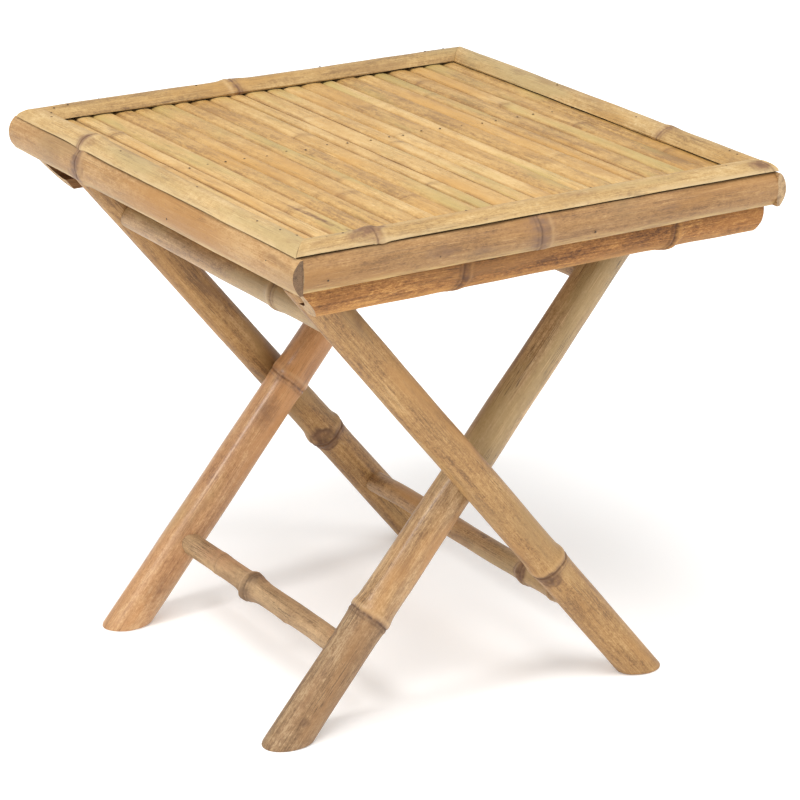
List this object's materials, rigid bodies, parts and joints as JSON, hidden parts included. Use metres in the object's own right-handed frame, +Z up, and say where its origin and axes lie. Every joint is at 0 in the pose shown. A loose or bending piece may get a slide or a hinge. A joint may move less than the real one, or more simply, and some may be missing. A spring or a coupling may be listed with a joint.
{
  "type": "folding side table",
  "caption": "Square bamboo side table with a rimmed slatted tray top on two crossed leg frames that fold flat about a pivot.",
  "frame": {"origin": "on the floor under the middle of the tray", "axes": "+Z up; +X from the hinged end of the tray to the stop end; the front rail faces -Y"},
  "size_m": [0.4524, 0.4524, 0.4391],
  "materials": {
    "slat_bamboo": "split bamboo skin, satin, fine lengthwise fibres",
    "rim_bamboo": "split bamboo culm, satin, light tan with brown node rings",
    "rail_bamboo": "scraped bamboo culm, rough and fibrous, brown",
    "leg_bamboo": "round bamboo culm, polished, golden to reddish brown",
    "dowel_wood": "plain turned wood, unfinished"
  },
  "bodies": {
    "outer_frame": {"cross_pin_back": "dowel_wood", "cross_pin_front": "dowel_wood", "dowel_stretcher_outer_back": "dowel_wood", "dowel_stretcher_outer_front": "dowel_wood", "dowel_top_bar_outer_back": "dowel_wood", "dowel_top_bar_outer_front": "dowel_wood", "hinge_pin_back": "dowel_wood", "hinge_pin_front": "dowel_wood", "leg_outer_back": "leg_bamboo", "leg_outer_front": "leg_bamboo", "stretcher_outer": "leg_bamboo", "top_bar_outer": "leg_bamboo"},
    "inner_frame": {"dowel_stretcher_inner_back": "dowel_wood", "dowel_stretcher_inner_front": "dowel_wood", "dowel_top_bar_inner_back": "dowel_wood", "dowel_top_bar_inner_front": "dowel_wood", "leg_inner_back": "leg_bamboo", "leg_inner_front": "leg_bamboo", "stretcher_inner": "leg_bamboo", "top_bar_inner": "leg_bamboo"},
    "tray": {"batten_middle": "rail_bamboo", "cap_back": "rim_bamboo", "cap_front": "rim_bamboo", "cap_left": "rim_bamboo", "cap_right": "rim_bamboo", "cleat_left": "rail_bamboo", "cover_back": "rim_bamboo", "cover_front": "rim_bamboo", "cover_left": "rim_bamboo", "cover_right": "rim_bamboo", "leg_stop": "rail_bamboo", "rail_back": "rail_bamboo", "rail_front": "rail_bamboo", "slat_01": "slat_bamboo", "slat_02": "slat_bamboo", "slat_03": "slat_bamboo", "slat_04": "slat_bamboo", "slat_05": "slat_bamboo", "slat_06": "slat_bamboo", "slat_07": "slat_bamboo", "slat_08": "slat_bamboo", "slat_09": "slat_bamboo", "slat_10": "slat_bamboo", "slat_11": "slat_bamboo", "slat_12": "slat_bamboo", "slat_13": "slat_bamboo", "slat_14": "slat_bamboo", "slat_15": "slat_bamboo", "slat_16": "slat_bamboo", "slat_17": "slat_bamboo", "slat_18": "slat_bamboo", "slat_19": "slat_bamboo", "slat_20": "slat_bamboo", "slat_21": "slat_bamboo", "slat_22": "slat_bamboo", "slat_23": "slat_bamboo", "slat_24": "slat_bamboo"}
  },
  "joints": [
    {"name": "legs_fold", "type": "hinge", "parent": "outer_frame", "child": "inner_frame", "pos_m": [-0.013, 0, 0.1913], "axis": [0, -1, 0], "range_deg": [0, 70]},
    {"name": "tray_tilt", "type": "hinge", "parent": "outer_frame", "child": "tray", "pos_m": [-0.17446, 0, 0.3844], "axis": [0, -1, 0], "range_deg": [0, 124]}
  ],
  "couplings": [
    {"joint": "tray_tilt", "follows": "legs_fold", "ratio": 1.7714}
  ]
}
